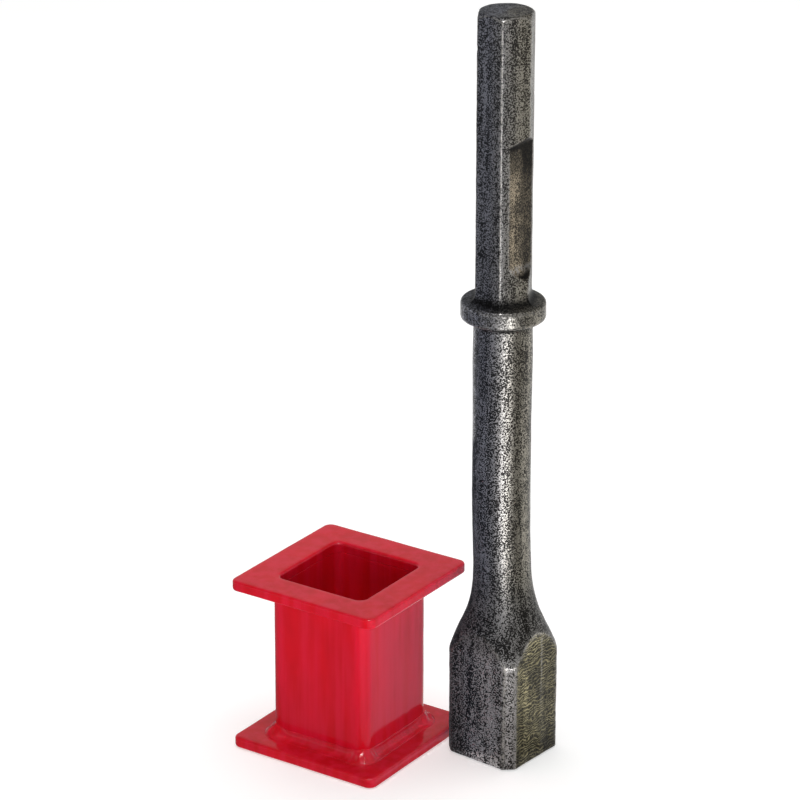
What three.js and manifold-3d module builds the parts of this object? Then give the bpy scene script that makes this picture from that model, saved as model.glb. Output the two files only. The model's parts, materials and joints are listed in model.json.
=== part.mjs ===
// A sign-post driver for a hand-held breaker, in two loose pieces that stand side by side:
// a forged driver steel, and a welded sleeve that goes over the top of the post and takes
// the steel's square head in its other end. Millimetres, +Z up. The sleeve's sides lie
// along X and Y, and the origin is the centre of the whole outline on the standing surface.
import * as THREE from "three";
import { mergeVertices } from "three/addons/utils/BufferGeometryUtils.js";
import Module from "manifold-3d";

const wasm = await Module();
wasm.setup();

// Sleeve: a square tube capped by a square flange plate at each end
const sleeveHeight = 102;
const tubeSide = 63.5;
const tubeWall = 3.2;
const tubeCorner = 7;
const flangeSide = 95;
const flangeThick = 6;
const flangeCorner = 5;
const flangeEdge = 1;
const openingCorner = 6;
const drivePlateTop = 48;
const drivePlateThick = 16;
const weldLeg = 5;
const grooveLeg = 3; // the drive plate's lower edge is bevelled, and the weld fills the groove
const grooveToe = 0.2; // thickness left where the groove weld runs out
const seatGap = 0.3; // between each weld, or the drive plate, and the steel that it is joined to

// Driver steel: hexagon shank, collar, round shaft, flare and square head
const driverLength = 426;
const shankFlats = 28.575; // a 1 1/8 in hexagon
const shankCorner = 1;
const shankChamfer = 2.5;
const notchFloor = 10.6; // from the shank's axis
const notchLow = 286; // ends of the notch's flat floor
const notchHigh = 355.7;
const notchEndSlope = 0.83; // rise of each end wall over its depth
const collarRadius = 23;
const collarTop = 267;
const collarBottom = 256.5;
const collarEdge = 1.5;
const collarFillet = 5;
const shaftRadius = 15.9;
const flareTop = 112;
const flareBottom = 64; // where the cone meets the head's corners
const flareBottomRadius = 29.2;
const flareSlope = 0.445; // growth in radius for each millimetre down the cone
const flareConeTop = 80;
const headFlats = 47;
const headChamfer = 5;
const headEdge = 1;
const headShift = new THREE.Vector2(1.5, 1.3); // the head is forged off the shaft's axis
const shiftStart = 160; // height at which the shaft starts to lean towards the head

// Where the driver stands from the sleeve's centre, and how it is turned
const driverPlace = new THREE.Vector3(76, 36, 0);
const driverTurn = THREE.MathUtils.degToRad(-4.6);

const latheSides = 40;
const cornerSteps = 4;
const edgeSteps = 2;
const overrun = 10; // how far a cutting solid reaches past what it cuts

const tubeBore = tubeSide - 2 * tubeWall;
const tubeLength = sleeveHeight - 2 * flangeThick;

const redPaint = new THREE.MeshStandardMaterial({ color: 0xb80f18, roughness: 0.25, metalness: 0 });
const paintedWeld = new THREE.MeshStandardMaterial({ color: 0xa80c14, roughness: 0.3, metalness: 0 });
const forgedSteel = new THREE.MeshStandardMaterial({ color: 0x3d3b38, roughness: 0.55, metalness: 0.8 });

// Solids

function solid(geometry) {
  const bare = geometry.clone();
  bare.deleteAttribute("normal");
  bare.deleteAttribute("uv");
  const merged = mergeVertices(bare, 1e-4);
  return new wasm.Manifold(
    new wasm.Mesh({
      numProp: 3,
      vertProperties: new Float32Array(merged.attributes.position.array),
      triVerts: new Uint32Array(merged.index.array),
    }),
  );
}

function geometryOf(body) {
  const mesh = body.getMesh();
  const geometry = new THREE.BufferGeometry();
  geometry.setAttribute("position", new THREE.BufferAttribute(mesh.vertProperties, 3));
  geometry.setIndex(new THREE.BufferAttribute(mesh.triVerts, 1));
  geometry.computeVertexNormals();
  return geometry;
}

function piece(name, geometry, material) {
  const mesh = new THREE.Mesh(geometry, material);
  mesh.name = name;
  return mesh;
}

// Outlines

function roundedSquare(side, radius, path = new THREE.Shape()) {
  const reach = side / 2 - radius;
  for (let corner = 0; corner < 4; corner++) {
    const start = (corner * Math.PI) / 2;
    const x = corner === 0 || corner === 3 ? reach : -reach;
    const y = corner < 2 ? reach : -reach;
    path.absarc(x, y, radius, start, start + Math.PI / 2, false);
  }
  path.closePath();
  return path;
}

function polygon(points) {
  return new THREE.Shape(points.map(([x, y]) => new THREE.Vector2(x, y)));
}

// A regular hexagon with a corner on +X and each corner cut to a short round
function roundedHexagon(flats, radius) {
  const reach = (flats / 2 - radius) / Math.cos(Math.PI / 6);
  const shape = new THREE.Shape();
  for (let corner = 0; corner < 6; corner++) {
    const angle = (corner * Math.PI) / 3;
    const x = reach * Math.cos(angle);
    const y = reach * Math.sin(angle);
    shape.absarc(x, y, radius, angle - Math.PI / 6, angle + Math.PI / 6, false);
  }
  shape.closePath();
  return shape;
}

// An upright prism from z = low to z = high, with its top and bottom edges rounded
function prism(shape, low, high, edge = 0) {
  const geometry = new THREE.ExtrudeGeometry(shape, {
    depth: high - low - 2 * edge,
    curveSegments: cornerSteps,
    bevelEnabled: edge > 0,
    bevelThickness: edge,
    bevelSize: edge,
    bevelOffset: -edge,
    bevelSegments: edgeSteps,
  });
  return geometry.translate(0, 0, low + edge);
}

// Sleeve

function flangePlate() {
  const outline = roundedSquare(flangeSide, flangeCorner);
  outline.holes.push(roundedSquare(tubeBore, openingCorner, new THREE.Path()));
  return prism(outline, 0, flangeThick, flangeEdge);
}

function squareTube() {
  const outline = roundedSquare(tubeSide, tubeCorner);
  outline.holes.push(roundedSquare(tubeBore, tubeCorner - tubeWall, new THREE.Path()));
  return prism(outline, 0, tubeLength);
}

// A square pyramid cut off level, standing on z = 0
function cutPyramid(lowSide, highSide, height) {
  const geometry = new THREE.CylinderGeometry(highSide / Math.SQRT2, lowSide / Math.SQRT2, height, 4);
  return geometry.rotateY(Math.PI / 4).rotateX(Math.PI / 2).translate(0, 0, height / 2);
}

// One straight run of fillet weld along the +X side of the tube, mitred to its neighbours
function weldRun() {
  const inner = tubeSide + 2 * seatGap;
  const reach = tubeSide;
  const metal = solid(cutPyramid(inner + 2 * weldLeg, inner, weldLeg));
  const tube = solid(prism(roundedSquare(inner, tubeCorner), -overrun, overrun));
  const side = solid(
    prism(polygon([[seatGap, 0], [reach, seatGap - reach], [reach, reach - seatGap]]), -overrun, overrun),
  );
  return geometryOf(metal.subtract(tube).intersect(side));
}

function drivePlate() {
  const side = tubeBore - 2 * seatGap;
  const plate = solid(prism(roundedSquare(side, tubeCorner - tubeWall), 0, drivePlateThick));
  const lowSide = side - 2 * grooveLeg;
  const bevelled = cutPyramid(lowSide, lowSide + 2 * drivePlateThick, drivePlateThick);
  return geometryOf(plate.intersect(solid(bevelled)));
}

// The weld in the groove between the drive plate and the tube, flush with the plate's underside
function grooveWeld() {
  const side = tubeBore - 2 * seatGap;
  const height = grooveLeg - seatGap - grooveToe;
  const metal = solid(prism(roundedSquare(side, tubeCorner - tubeWall), 0, height));
  const lowSide = side - 2 * (grooveLeg - seatGap);
  const reach = 2 * grooveLeg;
  const middle = cutPyramid(lowSide - 2 * reach, lowSide + 2 * reach, 2 * reach).translate(0, 0, -reach);
  return geometryOf(metal.subtract(solid(middle)));
}

function sleeve() {
  const group = new THREE.Group();
  const tube = piece("sleeve_tube", squareTube(), redPaint);
  tube.position.z = flangeThick;
  const lowFlange = piece("bottom_flange", flangePlate(), redPaint);
  const highFlange = piece("top_flange", flangePlate(), redPaint);
  highFlange.position.z = sleeveHeight - flangeThick;
  const pad = piece("drive_plate", drivePlate(), redPaint);
  pad.position.z = drivePlateTop - drivePlateThick;
  const padWeld = piece("drive_plate_weld", grooveWeld(), paintedWeld);
  padWeld.position.z = pad.position.z;
  group.add(tube, lowFlange, highFlange, pad, padWeld);

  const sides = ["right", "back", "left", "front"];
  sides.forEach((side, index) => {
    const low = piece(`bottom_weld_${side}`, weldRun(), paintedWeld);
    low.rotation.z = (index * Math.PI) / 2;
    low.position.z = flangeThick + seatGap;
    const high = piece(`top_weld_${side}`, weldRun().rotateX(Math.PI), paintedWeld);
    high.rotation.z = (index * Math.PI) / 2;
    high.position.z = sleeveHeight - flangeThick - seatGap;
    group.add(low, high);
  });
  return group;
}

// Driver steel

// Everything round, as (radius, height) points: drawn from inside the shank down to the base,
// and handed over base first, so that the turned surface faces outwards
function roundProfile() {
  const path = new THREE.Path();
  const coneRadius = (z) => flareBottomRadius + flareSlope * (flareBottom - z);
  const coneStart = flareBottom + (flareBottomRadius - shaftRadius) / flareSlope;
  const inset = shankFlats / 2 - shankCorner;
  path.moveTo(0, collarTop + 2 * collarFillet);
  path.lineTo(inset, collarTop + 2 * collarFillet);
  path.quadraticCurveTo(inset + 1, collarTop + 1, inset + collarFillet + 2, collarTop);
  path.lineTo(collarRadius - collarEdge, collarTop);
  path.quadraticCurveTo(collarRadius, collarTop, collarRadius, collarTop - collarEdge);
  path.lineTo(collarRadius, collarBottom + collarEdge);
  path.quadraticCurveTo(collarRadius, collarBottom, collarRadius - collarEdge, collarBottom);
  path.lineTo(shaftRadius + collarFillet, collarBottom);
  path.quadraticCurveTo(shaftRadius, collarBottom, shaftRadius, collarBottom - collarFillet);
  path.lineTo(shaftRadius, shiftStart);
  path.lineTo(shaftRadius, (shiftStart + flareTop) / 2);
  path.lineTo(shaftRadius, flareTop);
  path.quadraticCurveTo(shaftRadius, coneStart, coneRadius(flareConeTop), flareConeTop);
  path.lineTo(coneRadius(flareBottom - overrun), flareBottom - overrun);
  path.lineTo(coneRadius(flareBottom - overrun), -overrun);
  path.lineTo(0, -overrun);
  return path.getPoints(cornerSteps).reverse();
}

// Leans a solid from the shaft's axis to the head's: not at all at shiftStart, fully at the head
function leanToHead(geometry) {
  const position = geometry.attributes.position;
  for (let i = 0; i < position.count; i++) {
    const share = 1 - THREE.MathUtils.smoothstep(position.getZ(i), flareBottom, shiftStart);
    position.setX(i, position.getX(i) + headShift.x * share);
    position.setY(i, position.getY(i) + headShift.y * share);
  }
  return geometry;
}

function roundBody() {
  const turned = new THREE.LatheGeometry(roundProfile(), latheSides);
  turned.rotateX(Math.PI / 2);
  return solid(leanToHead(turned));
}

function shank() {
  const low = collarTop - 1;
  const bar = solid(prism(roundedHexagon(shankFlats, shankCorner), low, driverLength));
  const crown = shankFlats / Math.sqrt(3);
  const chamfer = new THREE.LatheGeometry(
    [
      new THREE.Vector2(0, low - 1),
      new THREE.Vector2(crown + shankChamfer, low - 1),
      new THREE.Vector2(crown + shankChamfer, driverLength - 2 * shankChamfer),
      new THREE.Vector2(crown - shankChamfer, driverLength),
      new THREE.Vector2(0, driverLength),
    ],
    latheSides,
  );
  return bar.intersect(solid(chamfer.rotateX(Math.PI / 2)));
}

// The retainer notch across the +X corner: a flat floor with an outward-sloping wall at each end
function notchCutter() {
  const depth = shankFlats;
  const rise = notchEndSlope * depth;
  const side = polygon([
    [notchFloor, notchLow],
    [notchFloor + depth, notchLow - rise],
    [notchFloor + depth, notchHigh + rise],
    [notchFloor, notchHigh],
  ]);
  const cutter = new THREE.ExtrudeGeometry(side, { depth: 2 * shankFlats, bevelEnabled: false });
  return solid(cutter.translate(0, 0, -shankFlats).rotateX(Math.PI / 2));
}

// What is cut away round the flare and the head to leave the chamfered square
function aroundHead() {
  const half = headFlats / 2;
  const cut = half - headChamfer;
  const square = polygon([
    [half, -cut], [half, cut], [cut, half], [-cut, half],
    [-half, cut], [-half, -cut], [-cut, -half], [cut, -half],
  ]);
  const head = prism(square, 0, flareConeTop + 2 * headEdge, headEdge);
  const block = prism(roundedSquare(3 * headFlats, headChamfer), -2 * overrun, flareConeTop);
  return solid(block).subtract(solid(head.translate(headShift.x, headShift.y, 0)));
}

function driver() {
  const steel = roundBody().add(shank()).subtract(notchCutter()).subtract(aroundHead());
  return piece("driver_steel", geometryOf(steel), forgedSteel);
}

// The two pieces side by side, with the origin under the centre of their common outline
const arrangement = new THREE.Group();
const steel = driver();
steel.position.copy(driverPlace);
steel.rotation.z = driverTurn;
arrangement.add(sleeve(), steel);

const outline = new THREE.Box3().setFromObject(arrangement, true);
const middle = outline.getCenter(new THREE.Vector3());
arrangement.position.set(-middle.x, -middle.y, 0);

const postDriver = new THREE.Group();
postDriver.add(arrangement);

export default postDriver;
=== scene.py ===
"""The looks of the sign-post driver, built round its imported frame: a welded sleeve in gloss red
paint and a forged driver steel. Shapes are worked out in millimetres and placed in metres."""

import json
import math

import bpy
import numpy as np
from mathutils import Matrix, Vector, noise


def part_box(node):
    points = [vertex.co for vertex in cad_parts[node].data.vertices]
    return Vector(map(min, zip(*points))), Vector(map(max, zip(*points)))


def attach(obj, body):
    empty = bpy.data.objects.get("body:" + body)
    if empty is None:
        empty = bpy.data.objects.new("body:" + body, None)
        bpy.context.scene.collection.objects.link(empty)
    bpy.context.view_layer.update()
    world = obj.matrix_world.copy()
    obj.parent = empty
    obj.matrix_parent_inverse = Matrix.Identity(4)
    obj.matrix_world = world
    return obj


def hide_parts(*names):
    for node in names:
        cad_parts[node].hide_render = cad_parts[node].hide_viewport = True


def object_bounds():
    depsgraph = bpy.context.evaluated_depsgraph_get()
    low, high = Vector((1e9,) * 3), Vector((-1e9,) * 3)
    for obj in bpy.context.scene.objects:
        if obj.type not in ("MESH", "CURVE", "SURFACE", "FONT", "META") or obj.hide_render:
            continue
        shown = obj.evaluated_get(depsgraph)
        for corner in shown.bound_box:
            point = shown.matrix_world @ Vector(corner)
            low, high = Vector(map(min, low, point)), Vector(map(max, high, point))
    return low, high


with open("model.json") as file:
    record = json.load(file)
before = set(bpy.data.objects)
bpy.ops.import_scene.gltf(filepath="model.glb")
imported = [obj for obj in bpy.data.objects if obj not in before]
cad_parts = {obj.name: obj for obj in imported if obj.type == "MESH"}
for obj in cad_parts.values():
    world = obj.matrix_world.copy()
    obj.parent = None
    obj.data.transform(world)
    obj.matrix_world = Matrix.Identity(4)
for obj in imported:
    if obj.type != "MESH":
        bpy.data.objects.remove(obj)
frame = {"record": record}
cad_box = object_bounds()

MM = 0.001
# The reach of a column that never meets a wall
FAR = 1e6

mounts = {mount["name"]: mount for mount in frame["record"]["mounts"]}


def mount_point(name):
    return Vector(mounts[name]["pos_m"]) / MM


def node_box(name):
    low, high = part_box(name)
    return low / MM, high / MM


# Sleeve, measured on the frame
tube_low, tube_high = node_box("sleeve_tube")
flange_low, flange_high = node_box("top_flange")
plate_low, plate_high = node_box("drive_plate")
groove_low, groove_high = node_box("drive_plate_weld")
sleeve_axis = (tube_low + tube_high) / 2
flange_half = (flange_high.x - flange_low.x) / 2
tube_half = (tube_high.x - tube_low.x) / 2
plate_half = (plate_high.x - plate_low.x) / 2
SEAT_GAP = 0.3
bore_half = plate_half + SEAT_GAP
weld_leg = node_box("bottom_weld_right")[1].x - tube_high.x
TUBE_CORNER, TUBE_EDGE = 7.0, 0.2
FLANGE_CORNER, FLANGE_EDGE = 5.0, 1.3
OPENING_CORNER, OPENING_EDGE, OPENING_HIDDEN_EDGE = 5.0, 1.6, 0.2
PLATE_EDGE = 1.2
bore_corner = TUBE_CORNER - (tube_half - bore_half)
# The weld beads sink into the tube and the flange, and their hollow is a share of their leg
BEAD_FACE_STEPS = 10
BEAD_SUNK = 0.4
BEAD_HOLLOW = 0.38
BEAD_UNEVEN, BEAD_UNEVEN_SIZE = 0.35, 7.0
BEAD_RIPPLE, BEAD_RIPPLE_STEP, BEAD_CRESCENT = 0.05, 2.7, 1.6
# Towards a bead's ends the leg, the ripples and the lumps grow by these
SWELL_LEG, SWELL_RIPPLE, SWELL_LUMP, SWELL_LUMP_SIZE, SWELL_REACH = 1.2, 0.20, 1.5, 2.6, 6.0
GROOVE_CROWN, GROOVE_RIPPLE, GROOVE_RIPPLE_STEP = 0.25, 0.12, 2.4

# Driver steel, measured on the frame where a mount says it
shank_axis = mount_point("strike_face")
head_centre = mount_point("head_face")
notch_out = Vector(mounts["retainer_notch"]["axis"])
notch_floor = (mount_point("retainer_notch") - shank_axis).dot(notch_out)
shank_half = (mount_point("shank_flat") - shank_axis).dot(Vector(mounts["shank_flat"]["axis"]))
driver_length = shank_axis.z
driver_turn = math.atan2(notch_out.y, notch_out.x)
head_shift = Matrix.Rotation(-driver_turn, 3, "Z") @ (head_centre - shank_axis)
NOTCH_LOW, NOTCH_HIGH = 286.0, 355.7
NOTCH_END_SLOPE = 0.83
NOTCH_CUTTER, NOTCH_RUN = 10.0, 4.4
SHANK_CHAMFER = 2.5
COLLAR_RADIUS = 23.0
COLLAR_LOW, COLLAR_HIGH = 256.5, 267.0
COLLAR_EDGE = 2.0
COLLAR_FILLET = 4.5
SHAFT_RADIUS = 15.9
BULGE, BULGE_HEIGHT, BULGE_REACH = 0.25, 230.0, 14.0
FLARE_TOP, FLARE_CONE_TOP, FLARE_BOTTOM = 112.0, 80.0, 64.0
FLARE_BOTTOM_RADIUS = 29.2
FLARE_SLOPE = 0.445
SHIFT_START = 160.0
HEAD_HALF = 23.5
HEAD_CHAMFER = 5.0
HEAD_EDGE = 1.2
PASS_RIDGE = 4.2
FIRST_PASS_DEPTH, SECOND_PASS_DEPTH = 0.14, 0.18
# How sharp the edges are where flat walls meet
HEAD_SHARPNESS, MILLED_SHARPNESS = 90, 320
SHANK_SHARPNESS, NOTCH_SHARPNESS = 48, 110
# The forged skin's waves, lumps and pits: how far apart, and how deep
WAVE_SIZE, WAVE_DEPTH = 22.0, 0.16
LUMP_SIZE, LUMP_DEPTH = 5.0, 0.085
PIT_SIZE, PIT_DEPTH, PIT_START = 3.4, 0.9, 0.50
# The driver's points: columns round it, and loops up it as (low, high, spacing), which lie closer
# together at the head's arches, at both ends of the notch and at the strike face
COLUMNS = 216
HEAD_SPANS = ((HEAD_EDGE, 62, 1.0), (62, 84, 0.55), (84, 116, 1.1))
SHAFT_SPAN = (116, COLLAR_LOW - COLLAR_FILLET, 1.8)
SHANK_SPANS = (
    (COLLAR_HIGH + COLLAR_FILLET, 279, 1.2), (279, 292, 0.6), (292, 352, 1.2), (352, 361, 0.5),
    (361, driver_length - 5, 1.2), (driver_length - 5, driver_length, 0.5),
)

# Stage, in metres: the floor, and the cards and lamps that lie on it
FLOOR_REACH, FLOOR_DEPTH, FLOOR_GLOW = 12.0, 0.0003, 0.49
CARD_LIFT, LAMP_LIFT = 0.0005, 0.001
STRIP_AZIMUTH, STRIP_RADIANCE = 46, 11.0

# Camera: degrees, metres and millimetres; the aim is how far it looks past the object's middle
CAMERA_AZIMUTH, CAMERA_ELEVATION = 34.2, 22.0
CAMERA_DISTANCE = 2.0
CAMERA_LENS, CAMERA_SENSOR = 167.5, 36.0
CAMERA_AIM = Vector((5.2, -5.5, -2.6))

# Colours, as linear red, green and blue
PAINT_DEEP, PAINT_LIGHT, PAINT_RUN = (0.50, 0.0008, 0.008), (0.60, 0.0012, 0.011), (0.66, 0.012, 0.045)
# Cool-lit and warmer-lit copies of the scale and the metal, a painted light that is brighter on one side
# of the driver
SCALE_COOL_LIT, SCALE_WARM_LIT = (0.006, 0.007, 0.010), (0.014, 0.012, 0.009)
METAL_COOL_LIT, METAL_WARM_LIT = (0.235, 0.24, 0.28), (0.285, 0.265, 0.22)
# Metal on the head, and a lighter metal where worn by rubbing, which carries painted light
METAL_ON_HEAD, METAL_WEAR_AND_LIGHT = (0.50, 0.49, 0.50), (0.50, 0.48, 0.48)
MILLED_HOLLOW, MILLED_CREST = (0.006, 0.005, 0.002), (0.58, 0.51, 0.27)
NOTCH_STAIN, NOTCH_METAL = (0.020, 0.015, 0.008), (0.37, 0.30, 0.20)
# The edge colour is worn metal with a painted highlight; the last colour here is painted shade
EDGE_WEAR_AND_HIGHLIGHT, PIT, PAINTED_SHADE = (0.50, 0.48, 0.45), (0.004, 0.004, 0.005), (0.005, 0.005, 0.005)
BLACK, WHITE = (0.0, 0.0, 0.0), (1.0, 1.0, 1.0)

# Where each noise field starts, so that no two surfaces share their lumps
NOISE_START = {
    "wave": Vector((11.3, 4.1, 7.7)), "lump": Vector((3.9, 21.2, 9.4)),
    "pit": Vector((17.1, 2.6, 30.8)), "paint": Vector((8.8, 14.5, 1.9)),
}


def ramp(value, low, high):
    """Goes from 0 to 1 as value goes from low to high; low may be the larger of the two."""
    return np.clip((value - low) / (high - low), 0, 1)


def bell(value, middle, width):
    """1 at the middle, and falling away on both sides."""
    return np.exp(-(((value - middle) / width) ** 2))


# Meshes

def arc(start, end, steps):
    """(cosine, sine) pairs from one angle to another, in degrees, both ends included."""
    angles = [math.radians(start + (end - start) * step / steps) for step in range(steps + 1)]
    return [(math.cos(angle), math.sin(angle)) for angle in angles]


def spread(low, high, spacing):
    """Evenly spaced values from low up to, and not including, high."""
    count = max(1, round((high - low) / spacing))
    return [low + (high - low) * step / count for step in range(count)]


def heights_over(*spans):
    """The heights of the loops over some spans, without the first, which is already there."""
    return [z for span in spans for z in spread(*span)][1:]


def make_piece(name, points, faces, body, node, slot, material, marks=None):
    """A smooth-shaded mesh of points in millimetres, which rides on a body and stands for a CAD node."""
    mesh = bpy.data.meshes.new(name)
    mesh.from_pydata((np.asarray(points) * MM).tolist(), [], faces)
    mesh.polygons.foreach_set("use_smooth", [True] * len(mesh.polygons))
    for mark, values in (marks or {}).items():
        attribute = mesh.attributes.new(mark, "FLOAT", "POINT")
        attribute.data.foreach_set("value", np.asarray(values, np.float32))
    mesh.materials.append(material)
    piece = bpy.data.objects.new(name, mesh)
    bpy.context.scene.collection.objects.link(piece)
    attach(piece, body)
    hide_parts(node)
    return piece


def loft_faces(rings, columns, closed):
    """Quads between successive loops. Closed joins the last loop to the first; otherwise each end
    closes on a centre point, and the two centres come after the last loop's points."""
    faces = []
    for ring in range(rings if closed else rings - 1):
        low, high = ring * columns, (ring + 1) % rings * columns
        for column in range(columns):
            after = (column + 1) % columns
            faces.append((low + column, low + after, high + after, high + column))
    if not closed:
        first, last = rings * columns, rings * columns + 1
        top = (rings - 1) * columns
        for column in range(columns):
            after = (column + 1) % columns
            faces.append((first, after, column))
            faces.append((last, top + column, top + after))
    return faces


def closed_loft(loops, ends):
    """The points and faces of a skin over open loops that closes on a point at each end."""
    points = np.concatenate(loops + [np.array(ends)])
    return points, loft_faces(len(loops), len(loops[0]), closed=False)


def push_out(piece, depth_of):
    """Moves each vertex along its normal by depth_of(point, normal, index), all in millimetres."""
    mesh = piece.data
    normals = [vertex.normal.copy() for vertex in mesh.vertices]
    for vertex, normal in zip(mesh.vertices, normals):
        vertex.co += normal * (depth_of(vertex.co / MM, normal, vertex.index) * MM)
    mesh.update()


def square_loop(half, corner, corner_steps=10, side_steps=22):
    """A square with rounded corners, anticlockwise from the middle of its -Y, +X corner. Every loop
    with the same steps has the same number of points, so that any two can be joined."""
    reach = half - corner
    points = []
    for quarter in range(4):
        turn = Matrix.Rotation(math.pi / 2 * quarter, 2)
        for step in range(side_steps):
            points.append(turn @ Vector((half, reach * (2 * step / side_steps - 1))))
        for c, s in arc(0, 90, corner_steps)[:-1]:
            points.append(turn @ Vector((reach + corner * c, reach + corner * s)))
    return np.array(points)


# Materials

class Recipe:
    """The node tree of a material or a world. Each method adds a node and returns its output."""

    def __init__(self, owner, coordinates="Object"):
        self.owner = owner
        self.owner.use_nodes = True
        self.tree = owner.node_tree
        self.place = self.node("ShaderNodeTexCoord").outputs[coordinates]

    def node(self, kind, **settings):
        node = self.tree.nodes.new(kind)
        for name, value in settings.items():
            setattr(node, name, value)
        return node

    def feed(self, socket, value):
        if isinstance(value, bpy.types.NodeSocket):
            self.tree.links.new(value, socket)
        else:
            socket.default_value = value

    def maths(self, operation, first, second=0.0, third=0.0):
        node = self.node("ShaderNodeMath", operation=operation)
        for socket, value in zip(node.inputs, (first, second, third)):
            self.feed(socket, value)
        return node.outputs[0]

    def times(self, first, second, plus=0.0):
        """The product of first and second, with plus added to it."""
        return self.maths("MULTIPLY_ADD", first, second, plus)

    def vector(self, operation, first, second):
        node = self.node("ShaderNodeVectorMath", operation=operation)
        self.feed(node.inputs[0], first)
        self.feed(node.inputs[1], second)
        return node.outputs[0]

    def dot(self, first, second):
        node = self.node("ShaderNodeVectorMath", operation="DOT_PRODUCT")
        self.feed(node.inputs[0], first)
        self.feed(node.inputs[1], second)
        return node.outputs["Value"]

    def split(self, vector):
        node = self.node("ShaderNodeSeparateXYZ")
        self.feed(node.inputs[0], vector)
        return node.outputs

    def sized(self, size):
        """Coordinates that run from 0 to 1 over a size in millimetres: one number or (x, y, z)."""
        size = (size,) * 3 if isinstance(size, (int, float)) else size
        return self.vector("DIVIDE", self.place, tuple(s * MM for s in size))

    def noise(self, size, detail=2.0, roughness=0.5):
        node = self.node("ShaderNodeTexNoise")
        self.feed(node.inputs["Vector"], self.sized(size))
        self.feed(node.inputs["Scale"], 1.0)
        self.feed(node.inputs["Detail"], detail)
        self.feed(node.inputs["Roughness"], roughness)
        return node.outputs["Fac"]

    def cells(self, size):
        node = self.node("ShaderNodeTexVoronoi")
        self.feed(node.inputs["Vector"], self.sized(size))
        self.feed(node.inputs["Scale"], 1.0)
        return node.outputs["Distance"]

    def fade(self, value, low, high, start=0.0, end=1.0):
        """Goes smoothly from start to end as value goes from low to high."""
        node = self.node("ShaderNodeMapRange", interpolation_type="SMOOTHSTEP")
        for socket, given in zip(node.inputs, (value, low, high, start, end)):
            self.feed(socket, given)
        return node.outputs[0]

    def mix(self, share, first, second):
        node = self.node("ShaderNodeMix", data_type="RGBA")
        factor, first_colour, second_colour = node.inputs[0], node.inputs[6], node.inputs[7]
        for socket, value in ((factor, share), (first_colour, first), (second_colour, second)):
            self.feed(socket, (*value, 1.0) if isinstance(value, tuple) else value)
        return node.outputs[2]

    def mark(self, name):
        return self.node("ShaderNodeAttribute", attribute_name=name).outputs["Fac"]

    def bump(self, height, depth, normal=None):
        """Raises the surface by a depth in millimetres where height is 1."""
        node = self.node("ShaderNodeBump")
        self.feed(node.inputs["Height"], height)
        self.feed(node.inputs["Distance"], depth * MM)
        if normal:
            self.feed(node.inputs["Normal"], normal)
        return node.outputs[0]

    def finish(self, shader="Principled BSDF", **inputs):
        """Feeds the shader's inputs, named with _ for a space, and returns the tree's owner."""
        for name, value in inputs.items():
            value = (*value, 1.0) if isinstance(value, tuple) else value
            self.feed(self.tree.nodes[shader].inputs[name.replace("_", " ")], value)
        return self.owner


def material_recipe(name):
    return Recipe(bpy.data.materials.new(name))


def paint_recipe(name, peel):
    """Thick gloss red paint over mill steel, with orange peel and soft vertical runs."""
    recipe = material_recipe(name)
    patch = recipe.noise((18, 18, 45), detail=2)
    runs = recipe.noise((6, 6, 80), detail=3)
    colour = recipe.mix(recipe.fade(patch, 0.3, 0.7), PAINT_DEEP, PAINT_LIGHT)
    colour = recipe.mix(recipe.fade(runs, 0.35, 0.68, 0.0, 0.5), colour, PAINT_RUN)
    waves = recipe.bump(runs, 0.10)
    skin = recipe.bump(recipe.noise(2.6, detail=1), peel, waves)
    gloss = recipe.fade(recipe.noise(14, detail=2), 0.3, 0.7, 0.05, 0.10)
    return recipe.finish(
        Base_Color=colour, Roughness=0.5, Specular_IOR_Level=0.02, Normal=skin,
        Coat_Weight=1.0, Coat_Roughness=gloss, Coat_IOR=1.4, Coat_Normal=skin,
    )


def worn_through(recipe, height, rubbed, on_head):
    """Where metal shows through the scale, in grit, mottles and streaks: 0 for scale and 1 for bare
    metal, with softer ends to the grit on the shank."""
    mottle = recipe.noise(9, detail=2)
    streak = recipe.noise((3.5, 3.5, 60), detail=2)
    grit = recipe.noise(0.8, detail=1, roughness=0.6)
    worn = recipe.times(mottle, 0.3, recipe.times(streak, 0.5))
    worn = recipe.times(grit, 1.5, worn)
    # More metal shows through where worn by rubbing, with painted light
    worn = recipe.times(rubbed, 0.06, worn)
    worn = recipe.times(on_head, -0.03, worn)
    on_shank = recipe.fade(height, COLLAR_LOW * MM, COLLAR_HIGH * MM)
    low = recipe.times(on_shank, -0.09, 1.12)
    high = recipe.times(on_shank, 0.09, 1.26)
    return recipe.fade(worn, low, high)


def mill_marks(recipe, height):
    """Wavy, broken ridges where a cutter crossed a face, 0 in the hollows and 1 on the crests."""
    drift = recipe.times(recipe.noise((9, 9, 7), detail=2), 9.0)
    level = recipe.times(recipe.noise(2.2, detail=1), 1.4, drift)
    level = recipe.maths("ADD", level, recipe.maths("DIVIDE", height, 0.95 * MM))
    crest = recipe.maths("POWER", recipe.maths("PINGPONG", level, 1.0), 3.0)
    return recipe.times(crest, recipe.fade(recipe.noise(4.0, detail=2), 0.3, 0.62, 0.25, 1.0))


def forged_colour(recipe, bare, rubbed, on_head):
    """Scale and bare metal, with painted light: lit cool on one side of the driver, and lit warmer and
    brighter on the other.
    """
    warm = recipe.mark("warm")
    scale = recipe.mix(warm, SCALE_COOL_LIT, SCALE_WARM_LIT)
    metal = recipe.mix(warm, METAL_COOL_LIT, METAL_WARM_LIT)
    metal = recipe.mix(recipe.times(on_head, 0.45), metal, METAL_ON_HEAD)
    metal = recipe.mix(recipe.times(rubbed, 0.6), metal, METAL_WEAR_AND_LIGHT)
    return recipe.mix(bare, scale, metal)


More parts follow.
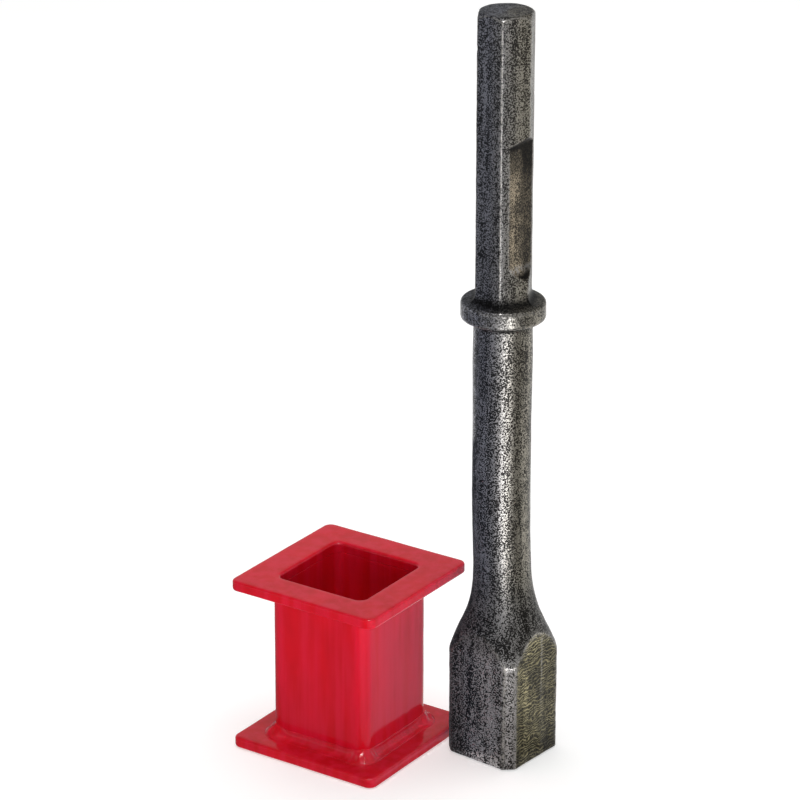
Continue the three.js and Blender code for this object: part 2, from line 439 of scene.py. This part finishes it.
def milled_colour(recipe, bare, rubbed, ridge):
    """Dark hollows and olive crests, stronger in some patches than in others."""
    patch = recipe.fade(recipe.noise((11, 11, 16), detail=2), 0.36, 0.6, 0.4, 0.85)
    cut = recipe.times(ridge, 0.8, recipe.times(bare, 0.2))
    # Brighter crests where worn by rubbing, with painted light
    cut = recipe.times(cut, recipe.times(rubbed, 0.8, patch))
    return recipe.mix(cut, MILLED_HOLLOW, MILLED_CREST)


def notch_colour(recipe, bare, rubbed):
    """Bare metal under brown stains."""
    stain = recipe.fade(recipe.noise(6, detail=2), 0.3, 0.7, 0.3, 0.8)
    # Clearer metal where worn by rubbing, with painted light
    clear = recipe.times(bare, recipe.times(rubbed, 0.55, stain))
    return recipe.mix(clear, NOTCH_STAIN, NOTCH_METAL)


def steel_recipe():
    """Forged steel: dark scale with metal shining through its grit, a milled face and a stained notch,
    bare metal along the edges, partly a painted highlight, painted light where worn by rubbing and on one
    side, and painted shade where the light never reaches."""
    recipe = material_recipe("forged_steel")
    height = recipe.split(recipe.place)[2]
    on_head = recipe.fade(height, FLARE_CONE_TOP * MM, FLARE_TOP * MM, 1.0, 0.0)
    # The marks: wear with painted light, the milled face, and painted shade
    rubbed, milled, soot = recipe.mark("rubbed"), recipe.mark("milled"), recipe.mark("soot")
    bare = worn_through(recipe, height, rubbed, on_head)
    ridge = mill_marks(recipe, height)
    pits = recipe.fade(recipe.cells(7.0), 0.0, 0.11, 1.0, 0.0)
    # Bare metal along the edges, partly worn and partly a painted highlight, broken up by noise
    broken = recipe.fade(recipe.noise(2.0, detail=3, roughness=0.7), 0.42, 0.54)
    edge = recipe.times(recipe.mark("edge"), broken)

    # The layers: the milled face, the stained notch, bare metal with a painted highlight along the edges,
    # pits, and painted shade
    colour = forged_colour(recipe, bare, rubbed, on_head)
    layers = (
        (milled, 0.95, milled_colour(recipe, bare, rubbed, ridge)),
        (recipe.mark("notch"), 0.9, notch_colour(recipe, bare, rubbed)),
        (edge, 0.85, EDGE_WEAR_AND_HIGHLIGHT),
        (pits, 0.8, PIT),
        (soot, 0.93, PAINTED_SHADE),
    )
    for place, share, layer in layers:
        colour = recipe.mix(recipe.times(place, share), colour, layer)

    # Less shine under the painted shade
    unshaded = recipe.times(soot, -0.9, 1.0)
    shine = recipe.times(recipe.maths("MAXIMUM", bare, edge), unshaded)
    lumps = recipe.bump(recipe.noise(5, detail=2), 0.10)
    grain = recipe.bump(recipe.noise(1.2, detail=2, roughness=0.6), 0.08, lumps)
    pitted = recipe.bump(recipe.times(pits, -1.0, 1.0), 0.25, grain)
    ridges = recipe.bump(recipe.times(ridge, milled), 0.12, pitted)
    return recipe.finish(
        Base_Color=colour, Metallic=recipe.fade(shine, 0.0, 1.0, 0.3, 0.7),
        Roughness=recipe.fade(shine, 0.0, 1.0, 0.40, 0.27),
        Specular_IOR_Level=recipe.times(unshaded, 0.18), Normal=ridges,
    )


red_paint = paint_recipe("red_paint", 0.03)
weld_paint = paint_recipe("painted_weld", 0.05)
forged_steel = steel_recipe()


# Sleeve

def paint_wave(amount, size=24):
    """A slow unevenness of the painted surface."""
    return lambda point, normal, index: amount * noise.noise(point / size + NOISE_START["paint"])


def at_sleeve(loop, z):
    """A flat loop at a height, as points round the sleeve's axis."""
    return np.column_stack([loop + np.array(sleeve_axis[:2]), np.full(len(loop), z)])


def square_ring(outer, inner, low, high, levels):
    """Loops round a square ring's wall: up the outside, in over the top, down the inside and out
    under the bottom. outer and inner are (half side, corner radius, lower edge, upper edge), and
    levels is how many steps each wall and face has."""
    def edge(wall, top, side, start, end):
        half, corner, low_edge, high_edge = wall
        size = high_edge if top else low_edge
        z = high - size if top else low + size
        rounding = []
        for c, s in arc(start, end, 4):
            inset = side * size * (1 - c)
            rounding.append(at_sleeve(square_loop(half - inset, corner - inset), z + size * s))
        return rounding

    def between(first, last):
        return [first + (last - first) * step / levels for step in range(1, levels)]

    corners = [
        edge(outer, False, 1, -90, 0), edge(outer, True, 1, 0, 90),
        edge(inner, True, -1, 90, 0), edge(inner, False, -1, 0, -90),
    ]
    loops = []
    for index, corner in enumerate(corners):
        loops += corner + between(corner[-1], corners[(index + 1) % 4][0])
    return loops


def ring_piece(name, loops, slot, material, wave):
    points = np.concatenate(loops)
    faces = loft_faces(len(loops), len(loops[0]), closed=True)
    piece = make_piece(f"{name}_painted", points, faces, "sleeve", name, slot, material)
    push_out(piece, wave)
    return piece


def flange(name):
    """A flange plate; the edge of its opening is rounded on the face away from the tube."""
    low, high = node_box(name)
    outer = (flange_half, FLANGE_CORNER, FLANGE_EDGE, FLANGE_EDGE)
    edges = (OPENING_HIDDEN_EDGE, OPENING_EDGE)
    inner = (bore_half, OPENING_CORNER, *(edges if name == "top_flange" else edges[::-1]))
    loops = square_ring(outer, inner, low.z, high.z, levels=8)
    return ring_piece(name, loops, "red_paint", red_paint, paint_wave(0.12))


def tube():
    outer = (tube_half, TUBE_CORNER, TUBE_EDGE, TUBE_EDGE)
    inner = (bore_half, bore_corner, TUBE_EDGE, TUBE_EDGE)
    loops = square_ring(outer, inner, tube_low.z, tube_high.z, levels=30)
    return ring_piece("sleeve_tube", loops, "red_paint", red_paint, paint_wave(0.22, 30))


def drive_plate():
    """The plate inside the tube: a block with rounded corners and edges, closed over its two faces."""
    half, low, high = plate_half, plate_low.z, plate_high.z
    flat = half - PLATE_EDGE
    face_shares = (0.15, 0.4, 0.65, 0.85)
    sizes = [(share * flat, low) for share in face_shares]
    sizes += [(flat + PLATE_EDGE * c, low + PLATE_EDGE * (1 + s)) for c, s in arc(-90, 0, 4)]
    sizes += [(half, z) for z in heights_over((low + PLATE_EDGE, high - PLATE_EDGE, 3))]
    sizes += [(flat + PLATE_EDGE * c, high - PLATE_EDGE * (1 - s)) for c, s in arc(0, 90, 4)]
    sizes += [(share * flat, high) for share in face_shares[::-1]]
    loops = [at_sleeve(square_loop(size, bore_corner * size / half), z) for size, z in sizes]
    ends = [(*sleeve_axis[:2], low), (*sleeve_axis[:2], high)]
    piece = make_piece(
        "drive_plate_painted", *closed_loft(loops, ends), "sleeve", "drive_plate", "red_paint", red_paint
    )
    push_out(piece, paint_wave(0.1))
    return piece


def groove_weld():
    """The ring of weld flush under the drive plate, slightly crowned and rippled."""
    outer = groove_high.x - sleeve_axis.x
    width = groove_high.z - groove_low.z
    profile = [(outer, groove_low.z), (outer, groove_high.z)]
    profile += [(outer - width * (0.5 + 0.5 * t), groove_high.z - width * t) for t in (0.35, 0.7, 1.0)]
    profile += [
        (outer - width * t, groove_low.z - GROOVE_CROWN * math.sin(math.pi * t)) for t in (0.8, 0.55, 0.3)
    ]
    loops = [at_sleeve(square_loop(half, bore_corner * half / outer, 24, 60), z) for half, z in profile]

    def ripple(point, normal, index):
        if normal.z >= -0.3:
            return 0.0
        return GROOVE_RIPPLE * math.sin((point.x + point.y) * 2 * math.pi / GROOVE_RIPPLE_STEP)

    return ring_piece("drive_plate_weld", loops, "painted_weld", weld_paint, ripple)


def bead_path(steps_corner=14, steps_side=150):
    """Points and outward directions along the tube's +X side, from mid corner to mid corner."""
    reach = tube_half - TUBE_CORNER
    path = []
    for c, s in arc(-45, 0, steps_corner)[:-1]:
        path.append((Vector((reach + TUBE_CORNER * c, -reach + TUBE_CORNER * s)), Vector((c, s))))
    for step in range(steps_side + 1):
        path.append((Vector((tube_half, reach * (2 * step / steps_side - 1))), Vector((1.0, 0.0))))
    for c, s in arc(0, 45, steps_corner)[1:]:
        path.append((Vector((reach + TUBE_CORNER * c, reach + TUBE_CORNER * s)), Vector((c, s))))
    return path


def bead_section(travelled, to_end, quarter, upward):
    """The section of a bead at one place on its path, as (out, up) from the corner it fills: hollow,
    with crescent ripples, and swollen and lumpy near the ends of the run."""
    swollen = bell(to_end, 0, SWELL_REACH)
    uneven = noise.noise(Vector((travelled / BEAD_UNEVEN_SIZE, quarter * 5.3, upward * 9.1)))
    leg = weld_leg + 0.1 + BEAD_UNEVEN * uneven + SWELL_LEG * swollen
    outline = [(-BEAD_SUNK, -BEAD_SUNK), (leg - 0.2, -BEAD_SUNK)]
    for step in range(BEAD_FACE_STEPS + 1):
        share = step / BEAD_FACE_STEPS
        crescent = travelled + BEAD_CRESCENT * (2 * share - 1) ** 2
        ripple = abs(math.sin(crescent * math.pi / BEAD_RIPPLE_STEP))
        place = Vector((travelled / SWELL_LUMP_SIZE, share * 2.2, quarter * 3.1 + upward * 7.7))
        crown = (BEAD_RIPPLE + SWELL_RIPPLE * swollen) * ripple
        crown += SWELL_LUMP * noise.noise(place) * swollen - BEAD_HOLLOW * leg * (1 - swollen)
        crown *= math.sin(math.pi * share) * math.sqrt(0.5)
        outline.append((leg * (1 - share) + crown, leg * share + crown))
    return outline + [(-BEAD_SUNK, leg - 0.2)]


def weld_bead(level, quarter, side):
    """One run of fillet weld along a side of the tube, up from the lower flange or down from the
    upper one."""
    name = f"{level}_weld_{side}"
    upward = 1 if level == "bottom" else -1
    seat = tube_low.z if level == "bottom" else tube_high.z
    turn = Matrix.Rotation(math.pi / 2 * quarter, 2)
    path = bead_path()
    total = sum((b[0] - a[0]).length for a, b in zip(path, path[1:]))
    travelled = 0.0
    last = path[0][0]
    loops = []
    for point, outward in path:
        travelled += (point - last).length
        last = point
        loop = []
        for out, up in bead_section(travelled, min(travelled, total - travelled), quarter, upward):
            flat = turn @ (point + outward * out)
            loop.append((flat.x + sleeve_axis.x, flat.y + sleeve_axis.y, seat + upward * up))
        loops.append(np.array(loop if upward > 0 else loop[::-1]))
    loops = loops[::-1]
    ends = [loops[0].mean(axis=0), loops[-1].mean(axis=0)]
    return make_piece(
        f"{name}_bead", *closed_loft(loops, ends), "sleeve", name, "painted_weld", weld_paint
    )


# Driver steel

turns = np.arange(COLUMNS) * 2 * math.pi / COLUMNS
degrees = np.degrees(turns)


def wall(normal_degrees, distance):
    """How far out each column may reach before it meets a flat wall."""
    facing = np.cos(turns - math.radians(normal_degrees))
    return np.where(facing > 0.05, distance / np.maximum(facing, 0.05), FAR)


def meet(walls, sharpness, closeness=60):
    """The reach inside all walls, rounded where two meet, and a mark that is 1 where they meet. The
    mark is narrower for a higher closeness."""
    walls = np.array(walls)
    tight = walls.min(axis=0)
    total = ((tight / walls) ** sharpness).sum(axis=0)
    near = ((tight / walls) ** closeness).sum(axis=0) - 1
    return tight * total ** (-1 / sharpness), np.clip(near, 0, 1)


def round_radius(z):
    """The radius of the turned shape under the head's flats: cone, curve of the flare, shaft."""
    if z >= FLARE_TOP:
        return SHAFT_RADIUS + BULGE * bell(z, BULGE_HEIGHT, BULGE_REACH)
    cone = FLARE_BOTTOM_RADIUS + FLARE_SLOPE * (FLARE_BOTTOM - z)
    if z <= FLARE_CONE_TOP:
        return cone
    # The flare is the quadratic curve from the shaft to the cone, bent at where their lines cross
    bend = FLARE_BOTTOM + (FLARE_BOTTOM_RADIUS - SHAFT_RADIUS) / FLARE_SLOPE
    end_radius = FLARE_BOTTOM_RADIUS + FLARE_SLOPE * (FLARE_BOTTOM - FLARE_CONE_TOP)
    a = FLARE_TOP - 2 * bend + FLARE_CONE_TOP
    b = 2 * (bend - FLARE_TOP)
    share = (-b - math.sqrt(b * b - 4 * a * (FLARE_TOP - z))) / (2 * a)
    return SHAFT_RADIUS + (end_radius - SHAFT_RADIUS) * share * share


def milled_depth(across):
    """The cutter made two passes down the milled face, and left a low ridge between them."""
    flat_half = HEAD_HALF - HEAD_CHAMFER
    first_half = (flat_half + PASS_RIDGE) / 2
    second_half = (flat_half - PASS_RIDGE) / 2
    first = FIRST_PASS_DEPTH * (1 - ((across - PASS_RIDGE + first_half) / first_half) ** 2)
    second = SECOND_PASS_DEPTH * (1 - ((across - PASS_RIDGE - second_half) / second_half) ** 2)
    return np.maximum(np.maximum(first, second), 0)


def across_milled(angles):
    """How far along the milled face each column is from the face's middle."""
    return HEAD_HALF * np.tan(np.clip(angles - 2 * math.pi * (angles > math.pi), -1.2, 1.2))


def section(reach, edge=0.0, milled=0.0, notch=0.0, rubbed=0.0):
    """A loop of the driver: how far each column reaches from the axis, and the marks its points bear.
    Each is given once, or column by column."""
    marks = {"edge": edge, "milled": milled, "notch": notch, "rubbed": rubbed}
    return np.full(COLUMNS, reach), {name: np.full(COLUMNS, mark) for name, mark in marks.items()}


def head_section(z):
    """The flare and the head: a cone inside three flats, four cut corners and the milled face."""
    cone = np.full(COLUMNS, round_radius(z))
    chamfer = (2 * HEAD_HALF - HEAD_CHAMFER) / math.sqrt(2)
    walls = [cone] + [wall(angle, HEAD_HALF) for angle in (90, 180, 270)]
    walls += [wall(angle, chamfer) for angle in (45, 135, 225, 315)]
    reach, edge = meet(walls, HEAD_SHARPNESS)
    across = across_milled(turns)
    face = wall(0, HEAD_HALF - milled_depth(across))
    cut, rim = meet([reach, face], MILLED_SHARPNESS, closeness=40)
    milled = np.clip((reach / face - 1) * 120, 0, 1)
    # The edges stay dark with scale, a painted shade, from the left face to the corner behind it
    dull = (degrees > 200) & (degrees < 287)
    # A painted highlight along the milled face's rim, and another along the ridge between the two passes
    edge = np.maximum(np.where(dull, 0.3, 1.0) * edge * (1 - milled), 0.9 * rim)
    between = 0.5 * milled * bell(across, PASS_RIDGE, 0.7) * ramp(z, 20, 60)
    # The left face and the cut corner beside it are lighter, worn by rubbing and with painted light, and
    # so is the top of the milled face
    on_face = ramp(np.minimum(wall(270, HEAD_HALF), wall(315, chamfer)) / reach - 1, 1 / 90, 0)
    rubbed = on_face * ramp(degrees, 252, 274) * ramp(degrees, 350, 330)
    crown = milled * bell(across, -2, 7) * bell(z, 70, 6)
    return section(cut, edge=edge + between, milled=milled, rubbed=np.maximum(rubbed, crown))


def notch_rise(z):
    """How far the notch's floor has risen at a height: a straight shoulder above, where the cutter
    plunged in, and a round run-out below."""
    into_run = min(max(NOTCH_LOW + NOTCH_RUN - z, 0), NOTCH_CUTTER)
    run_out = NOTCH_CUTTER - math.sqrt(NOTCH_CUTTER ** 2 - into_run ** 2)
    return max(z - NOTCH_HIGH, 0) / NOTCH_END_SLOPE + run_out


def shank_section(z):
    """The shank: a hexagon with a chamfered end, cut into by the notch."""
    hexagon = [wall(30 + 60 * side, shank_half) for side in range(6)]
    crown = shank_half / math.cos(math.pi / 6)
    end = np.full(COLUMNS, crown + driver_length - SHANK_CHAMFER - z)
    reach, edge = meet(hexagon + [end], SHANK_SHARPNESS)
    floor = wall(0, notch_floor + notch_rise(z))
    cut, rim = meet([reach, floor], NOTCH_SHARPNESS)
    inside = np.clip((reach / floor - 1) * 60, 0, 1)
    rim = rim * ramp(z, NOTCH_LOW - 2, NOTCH_LOW + 1)
    # A painted highlight along the lower end of the notch's run-out
    painted_lip_highlight = 0.8 * inside * bell(z, NOTCH_LOW + 0.5, 1.8)
    # The notch is lighter, worn by rubbing and with painted light, in two patches on its near side, and
    # all along the lower end of its run-out, a painted highlight
    rubbed = ramp(np.sin(turns), 0.05, -0.25) * (bell(z, 331, 11) + 0.5 * bell(z, 303, 12))
    rubbed = inside * (rubbed + 0.9 * bell(z, NOTCH_LOW + 1, 2.2))
    return section(cut, edge=np.maximum(edge * (1 - inside), rim) + painted_lip_highlight, notch=inside, rubbed=rubbed)


def driver_rings():
    """(height, reach, marks) for each loop, from the base up to the strike face."""
    rings = []

    def add(z, loop, grow=0.0, share=1.0, edge=None):
        reach, marks = loop
        if edge is not None:
            marks["edge"] = np.full(COLUMNS, edge)
        rings.append((z, (reach + grow) * share, marks))

    for share in (0.06, 0.2, 0.35, 0.5, 0.65, 0.8, 0.92):
        add(0, head_section(0), -HEAD_EDGE, share, edge=0)
    for c, s in arc(-90, 0, 4):
        add(HEAD_EDGE + HEAD_EDGE * s, head_section(HEAD_EDGE), -HEAD_EDGE * (1 - c))
    for z in heights_over(*HEAD_SPANS):
        add(z, head_section(z))
    for z in spread(*SHAFT_SPAN):
        add(z, section(round_radius(z)))
    for c, s in arc(0, 84, 5):
        add(COLLAR_LOW - COLLAR_FILLET * (1 - s), section(SHAFT_RADIUS + COLLAR_FILLET * (1 - c)))
    rim = COLLAR_RADIUS - COLLAR_EDGE
    for c, s in arc(-90, 0, 4):
        add(COLLAR_LOW + COLLAR_EDGE * (1 + s), section(rim + COLLAR_EDGE * c, edge=0.15 * c))
    for z in heights_over((COLLAR_LOW + COLLAR_EDGE, COLLAR_HIGH - COLLAR_EDGE, 1.0)):
        add(z, section(COLLAR_RADIUS, edge=0.05))
    for c, s in arc(0, 90, 4):
        add(COLLAR_HIGH - COLLAR_EDGE * (1 - s), section(rim + COLLAR_EDGE * c, edge=0.15 * c))
    for c, s in arc(84, 0, 6):
        height = COLLAR_HIGH + COLLAR_FILLET * (1 - s)
        add(height, shank_section(height), grow=COLLAR_FILLET * (1 - c), edge=0)
    for z in heights_over(*SHANK_SPANS):
        add(z, shank_section(z))
    for share in (0.97, 0.88, 0.75, 0.6, 0.45, 0.3, 0.15):
        add(driver_length, shank_section(driver_length), share=share, edge=0)
    return rings


def lean(z):
    """How far the axis has moved towards the head's own centre at a height."""
    share = float(ramp(z, FLARE_BOTTOM, SHIFT_START))
    return (1 - share * share * (3 - 2 * share)) * Vector(head_shift[:2])


def forged_surface(marks):
    """Long waves, lumps and pits from the forge, weaker on the machined faces."""
    cut = np.maximum(marks["milled"], marks["notch"])

    def depth(point, normal, index):
        rough = 1.0 - 0.75 * cut[index]
        wave = WAVE_DEPTH * noise.noise(point / WAVE_SIZE + NOISE_START["wave"])
        lump = LUMP_DEPTH * noise.noise(point / LUMP_SIZE + NOISE_START["lump"])
        pit = max(0.0, noise.noise(point / PIT_SIZE + NOISE_START["pit"]) - PIT_START)
        head = 1.5 if point.z < 110 else 1.0
        return rough * head * (wave + lump - PIT_DEPTH * pit)

    return depth


def painted_shade_outside(z, milled):
    """Painted shade on the forged skin: round the collar's two fillets, over the flare, on the hexagon and
    more on its left side, and on the head's far left; and darker on the strike face."""
    above = ramp(z, COLLAR_HIGH + 7, COLLAR_HIGH + 2) * ramp(z, COLLAR_HIGH - 1, COLLAR_HIGH + 0.5)
    below = ramp(z, COLLAR_LOW - 5, COLLAR_LOW - 2) * ramp(z, COLLAR_LOW + 1, COLLAR_LOW - 0.5)
    strike_end = 0.5 * (z >= driver_length)
    flare = (0.65 - 0.15 * bell(degrees, 310, 13)) * ramp(z, 60, 70) * ramp(z, 120, 98) * (1 - milled)
    left_side = (degrees > 190) * ramp(degrees, 300, 290)
    hexagon = (0.18 + 0.25 * left_side) * ramp(z, COLLAR_HIGH, COLLAR_HIGH + 8)
    head_left = (0.45 + 0.2 * ramp(z, 40, 20)) * ramp(degrees, 258, 244) * left_side * ramp(z, 76, 66)
    all_round = np.full(COLUMNS, max(above, below, strike_end))
    return np.maximum.reduce([all_round, flare, hexagon, head_left])


def painted_shade_on_milled(z):
    """Painted shade on the milled face: along its foot and its left edge, and thinly over the second pass.
    """
    across = across_milled(turns)
    foot = 0.45 * ramp(z, 15, 9) + 0.4 * bell(across, -13, 6) * bell(z, 26, 12)
    left_edge = 0.45 * ramp(across, -8, -16)
    second_pass = 0.25 * ramp(across, PASS_RIDGE + 2, PASS_RIDGE + 6)
    return foot + left_edge + second_pass


def painted_shade_in_notch(z):
    """Painted shade and shadow in the notch: at both its ends and down its far side."""
    shoulder = ramp(z, NOTCH_HIGH - 3, NOTCH_HIGH) + 0.5 * ramp(z, NOTCH_HIGH - 24, NOTCH_HIGH - 4)
    run_out = 0.9 * ramp(z, NOTCH_LOW - 1.5, NOTCH_LOW - 3)
    far_side = 0.55 * ramp(np.sin(turns), -0.07, 0.27)
    return shoulder + run_out + far_side


# Painted shade on each loop's points: outside, on the milled face and in the notch
def painted_shade_at(z, marks):
    milled, notch = marks["milled"], marks["notch"]
    outside = painted_shade_outside(z, milled) * (1 - milled)
    return np.clip(outside + milled * painted_shade_on_milled(z) + notch * painted_shade_in_notch(z), 0, 1)


def driver_steel():
    rings = driver_rings()
    turn = Matrix.Rotation(driver_turn, 2)
    around = np.array([turn @ Vector((math.cos(a), math.sin(a))) for a in turns])
    loops = []
    for z, reach, _ in rings:
        middle = np.array(turn @ lean(z)) + np.array(shank_axis[:2])
        loops.append(np.column_stack([around * reach[:, None] + middle, np.full(COLUMNS, z)]))
    ends = [loops[0].mean(axis=0), loops[-1].mean(axis=0)]
    marks = {
        name: np.concatenate([ring_marks[name] for _, _, ring_marks in rings] + [np.zeros(2)])
        for name in ("edge", "milled", "notch", "rubbed")
    }
    # Painted light: columns turned one way are lit warmer and brighter, the others cooler
    warm = np.clip(0.3 + 0.9 * np.cos(turns - math.radians(20)), 0, 1)
    marks["warm"] = np.append(np.tile(warm, len(rings)), [0.3, 0.3])
    # Painted shade, as a mark on the points
    marks["soot"] = np.append(np.concatenate([painted_shade_at(z, ring_marks) for z, _, ring_marks in rings]), [0, 0])
    piece = make_piece(
        "driver_steel_forging", *closed_loft(loops, ends), "driver", "driver_steel",
        "forged_steel", forged_steel, marks,
    )
    push_out(piece, forged_surface(marks))
    return piece


sleeve_pieces = [flange("bottom_flange"), flange("top_flange"), tube(), drive_plate(), groove_weld()]
for level in ("bottom", "top"):
    for quarter, side in enumerate(("right", "back", "left", "front")):
        sleeve_pieces.append(weld_bead(level, quarter, side))
driver_piece = driver_steel()


# Floor, light and camera

def floor():
    recipe = material_recipe("floor")
    tone = recipe.mix(recipe.noise(400, detail=2), (0.66, 0.66, 0.66), (0.68, 0.68, 0.68))
    material = recipe.finish(
        Base_Color=tone, Roughness=0.9, Specular_IOR_Level=0.0,
        Emission_Color=WHITE, Emission_Strength=FLOOR_GLOW,
    )
    mesh = bpy.data.meshes.new("floor")
    corners = [(-1, -1), (1, -1), (1, 1), (-1, 1)]
    points = [(x * FLOOR_REACH, y * FLOOR_REACH, -FLOOR_DEPTH) for x, y in corners]
    mesh.from_pydata(points, [], [(0, 1, 2, 3)])
    mesh.materials.append(material)
    plane = bpy.data.objects.new("floor", mesh)
    bpy.context.scene.collection.objects.link(plane)


centre = (cad_box[0] + cad_box[1]) / 2


def direction(azimuth, elevation):
    """The unit vector from the object towards a place, by azimuth from -Y and height in degrees."""
    a, e = math.radians(azimuth), math.radians(elevation)
    return Vector((math.sin(a) * math.cos(e), -math.cos(a) * math.cos(e), math.sin(e)))


def on_floor(away, lift):
    """A place round the driver's axis, lifted a little off the floor, in metres."""
    return Vector((shank_axis.x * MM + away.x, shank_axis.y * MM + away.y, lift))


def floor_lamp(name, azimuth, start, end, width, radiance):
    """A lamp that lies on the floor in front of the driver and shines up: upright surfaces, seen
    from above, mirror the floor."""
    lamp = bpy.data.lights.new(name, "AREA")
    lamp.shape = "RECTANGLE"
    lamp.size, lamp.size_y = width, end - start
    lamp.energy = radiance * math.pi * width * (end - start)
    light = bpy.data.objects.new(name, lamp)
    light.location = on_floor(direction(azimuth, 0) * (start + end) / 2, LAMP_LIFT)
    light.rotation_euler = (math.pi, 0, math.radians(-azimuth))
    light.visible_camera = False
    bpy.context.scene.collection.objects.link(light)


def card(name, points, faces, tone):
    """A studio card that shows only in reflections, as a mesh in metres that glows in one tone."""
    recipe = material_recipe(name)
    material = recipe.finish(Base_Color=BLACK, Emission_Color=tone, Emission_Strength=1.0)
    mesh = bpy.data.meshes.new(name)
    mesh.from_pydata(points, [], faces)
    mesh.materials.append(material)
    piece = bpy.data.objects.new(name, mesh)
    piece.visible_camera = False
    piece.visible_diffuse = False
    piece.visible_shadow = False
    bpy.context.scene.collection.objects.link(piece)


def floor_card(name, first, last, start, end, tone):
    """A card on the floor round the driver, between two azimuths and two distances in metres."""
    steps = 16
    points = []
    for distance in (start, end):
        for step in range(steps + 1):
            away = direction(first + (last - first) * step / steps, 0) * distance
            points.append(on_floor(away, CARD_LIFT))
    faces = [(step, step + 1, step + steps + 2, step + steps + 1) for step in range(steps)]
    card(name, points, faces, tone)


def dividing_card(name, x, top, tone):
    """A card that stands between the sleeve and the driver, so that neither mirrors the other."""
    left, right, foot = -0.08, 0.16, 0.001
    corners = [(x, left, foot), (x, right, foot), (x, right, top), (x, left, top)]
    card(name, corners, [(0, 1, 2, 3)], tone)


def soft_light(name, azimuth, elevation, distance, width, height, watts, colour=WHITE):
    """A lamp that faces the middle of the object; the camera doesn't see it."""
    lamp = bpy.data.lights.new(name, "AREA")
    lamp.shape = "RECTANGLE"
    lamp.size, lamp.size_y = width, height
    lamp.energy = watts
    lamp.color = colour
    light = bpy.data.objects.new(name, lamp)
    away = direction(azimuth, elevation)
    light.location = centre + away * distance
    light.rotation_mode = "QUATERNION"
    light.rotation_quaternion = away.to_track_quat("Z", "Y")
    light.visible_camera = False
    bpy.context.scene.collection.objects.link(light)
    return light


def light_only(light, pieces):
    """Makes a lamp light these pieces and nothing else."""
    receivers = bpy.data.collections.new(f"lit_by_{light.name}")
    for piece in pieces:
        receivers.objects.link(piece)
    light.light_linking.receiver_collection = receivers


def room():
    """White walls low in front and behind, white at the horizon, and dim above."""
    sky = Recipe(bpy.data.worlds.new("studio"), "Generated")
    height = sky.split(sky.place)[2]
    front = sky.fade(sky.dot(sky.place, direction(20, 0)), -0.4, 0.4)
    front_wall = sky.fade(height, 0.10, 0.32, 0.75, 0.12)
    back_wall = sky.fade(height, 0.45, 0.75, 0.45, 0.12)
    walls = sky.times(front, sky.maths("SUBTRACT", front_wall, back_wall), back_wall)
    strength = sky.maths("MAXIMUM", walls, sky.fade(height, 0.0, 0.14, 1.0, 0.0))
    bpy.context.scene.world = sky.finish("Background", Color=(0.97, 0.98, 1.0), Strength=strength)


def lamps():
    """A soft ceiling and a soft fill, two small lamps that only glints show, the second for the gloss
    paint alone, and a strip of floor lamps that the shaft mirrors. The fill leaves out the floor, on
    which its lower edge would draw a line."""
    ceiling = soft_light("ceiling", 200, 84, 2.6, 3.0, 3.0, 78, (1.0, 0.99, 0.97))
    ceiling.visible_glossy = False
    fill = soft_light("fill", 40, 8, 2.2, 1.6, 1.2, 16, (1.0, 0.99, 0.98))
    fill.visible_glossy = False
    light_only(fill, sleeve_pieces + [driver_piece])
    spark = soft_light("spark", 36, 64, 1.0, 0.05, 0.05, 5.0)
    spark.visible_diffuse = False
    paint_spark = soft_light("paint_spark", 36, 64, 1.0, 0.2, 0.2, 70.0)
    paint_spark.visible_diffuse = False
    light_only(paint_spark, sleeve_pieces)
    strips = ((0.20, 0.42, 0.09), (0.42, 0.8, 0.15), (0.8, 1.25, 0.24))
    for index, (start, end, width) in enumerate(strips):
        floor_lamp(f"strip_{index}", STRIP_AZIMUTH, start, end, width, STRIP_RADIANCE)


def cards():
    """Dim cards on the floor round the driver, and two between the driver and the sleeve."""
    floor_card("left_card", -95, 6, 0.03, 1.3, (0.16, 0.17, 0.20))
    floor_card("near_card", 6, 70, 0.03, 0.17, (0.24, 0.215, 0.205))
    floor_card("right_card", 70, 114, 0.03, 1.3, (0.13, 0.125, 0.11))
    gap = (flange_high.x + node_box("driver_steel")[0].x) / 2 * MM
    dividing_card("sleeve_card", gap - 0.0003, 0.14, (0.5, 0.52, 0.68))
    dividing_card("driver_card", gap + 0.0003, 0.18, (0.14, 0.145, 0.17))


def camera():
    data = bpy.data.cameras.new("camera")
    data.sensor_width = CAMERA_SENSOR
    data.lens = CAMERA_LENS
    data.clip_end = 60
    view = bpy.data.objects.new("camera", data)
    away = direction(CAMERA_AZIMUTH, CAMERA_ELEVATION)
    view.location = centre + CAMERA_AIM * MM + away * CAMERA_DISTANCE
    view.rotation_mode = "QUATERNION"
    view.rotation_quaternion = away.to_track_quat("Z", "Y")
    bpy.context.scene.collection.objects.link(view)
    bpy.context.scene.camera = view


floor()
room()
lamps()
cards()
camera()
bpy.context.scene.view_settings.view_transform = "Standard"
